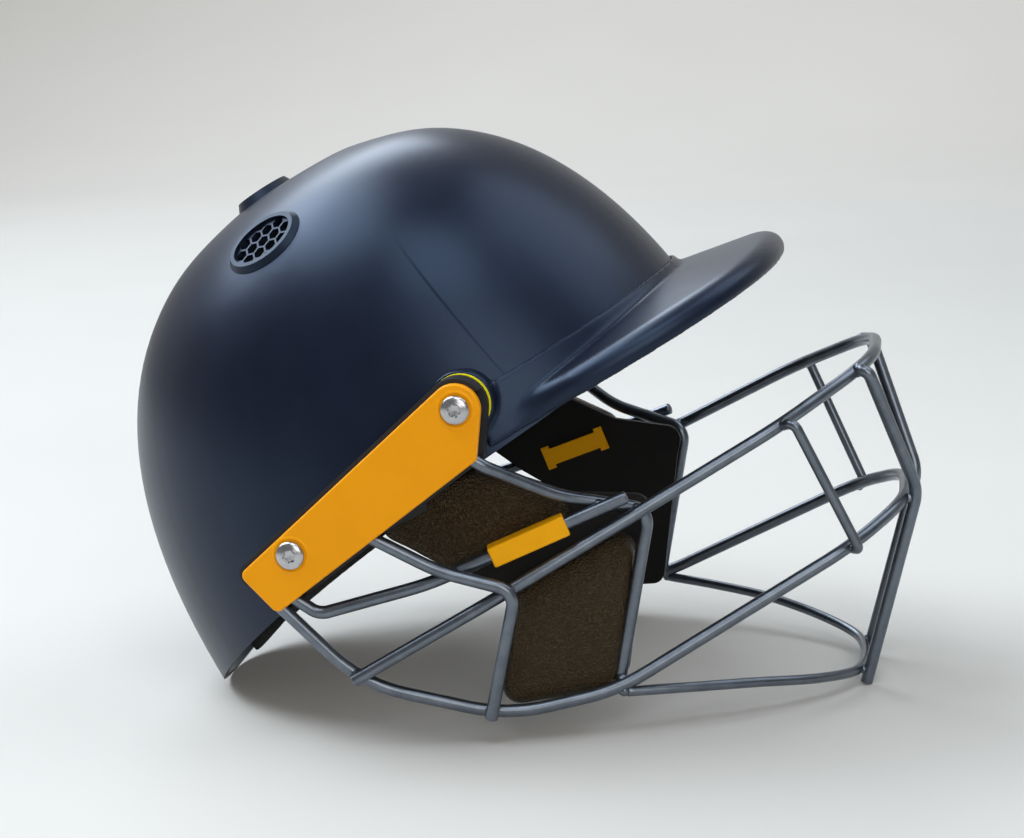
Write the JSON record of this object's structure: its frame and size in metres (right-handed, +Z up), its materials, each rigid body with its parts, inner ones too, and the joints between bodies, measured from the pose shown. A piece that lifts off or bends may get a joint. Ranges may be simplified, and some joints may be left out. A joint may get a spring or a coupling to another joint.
{
  "type": "cricket helmet",
  "caption": "Cricket helmet with a peaked moulded shell, padded foam liner, welded wire face grille on side plates, cheek guards and swinging chin strap anchors.",
  "frame": {"origin": "centre of the bounding box at table level, with the helmet resting on its nape rim and the two feet of the grille", "axes": "+X towards the face grille, +Y towards the wearer's left, +Z up from the table"},
  "size_m": [0.3248, 0.2312, 0.2291],
  "materials": {
    "shell": "satin",
    "peak": "satin",
    "vent": "matt",
    "liner": "matt foam",
    "comfort_pad": "woven",
    "plate": "gloss",
    "spacer": "matt",
    "gasket": "matt",
    "fastener": "satin",
    "grille": "satin",
    "cheek_guard": "grained foam",
    "board": "matt",
    "clip": "satin",
    "anchor": "satin"
  },
  "bodies": {
    "helmet": {"anchor_rivets": "fastener", "brow_pad": "comfort_pad", "centre_upright_left": "grille", "centre_upright_right": "grille", "cheek_bar_left": "grille", "cheek_bar_right": "grille", "cheek_pad_left": "cheek_guard", "cheek_pad_right": "cheek_guard", "chin_bar": "grille", "crown_pad": "comfort_pad", "ear_bar_left": "grille", "ear_bar_right": "grille", "ear_pad_left": "cheek_guard", "ear_pad_right": "cheek_guard", "flange_nuts": "fastener", "gasket_left": "gasket", "gasket_right": "gasket", "grille_strap_left": "grille", "grille_strap_right": "grille", "guard_board_left": "board", "guard_board_right": "board", "impact_liner": "liner", "jaw_bar": "grille", "nape_pad": "comfort_pad", "outer_shell": "shell", "pad_clip_left": "clip", "pad_clip_right": "clip", "peak": "peak", "plate_screws": "fastener", "side_plate_left": "plate", "side_plate_right": "plate", "side_upright_left": "grille", "side_upright_right": "grille", "spacer_left": "spacer", "spacer_right": "spacer", "strut_bar_left": "grille", "strut_bar_right": "grille", "temple_pad_left": "comfort_pad", "temple_pad_right": "comfort_pad", "top_bar": "grille", "vent_left": "vent", "vent_right": "vent", "vent_top": "vent"},
    "anchor_left": {"strap_anchor_left": "anchor"},
    "anchor_right": {"strap_anchor_right": "anchor"}
  },
  "joints": [
    {"name": "strap_anchor_left_swing", "type": "hinge", "parent": "helmet", "child": "anchor_left", "pos_m": [-0.04251, 0.1008, 0.10628], "axis": [-0.1075, 0.9908, 0.0826], "range_deg": [-18, 18]},
    {"name": "strap_anchor_right_swing", "type": "hinge", "parent": "helmet", "child": "anchor_right", "pos_m": [-0.04251, -0.1008, 0.10628], "axis": [-0.1075, -0.9908, 0.0826], "range_deg": [-18, 18]}
  ]
}
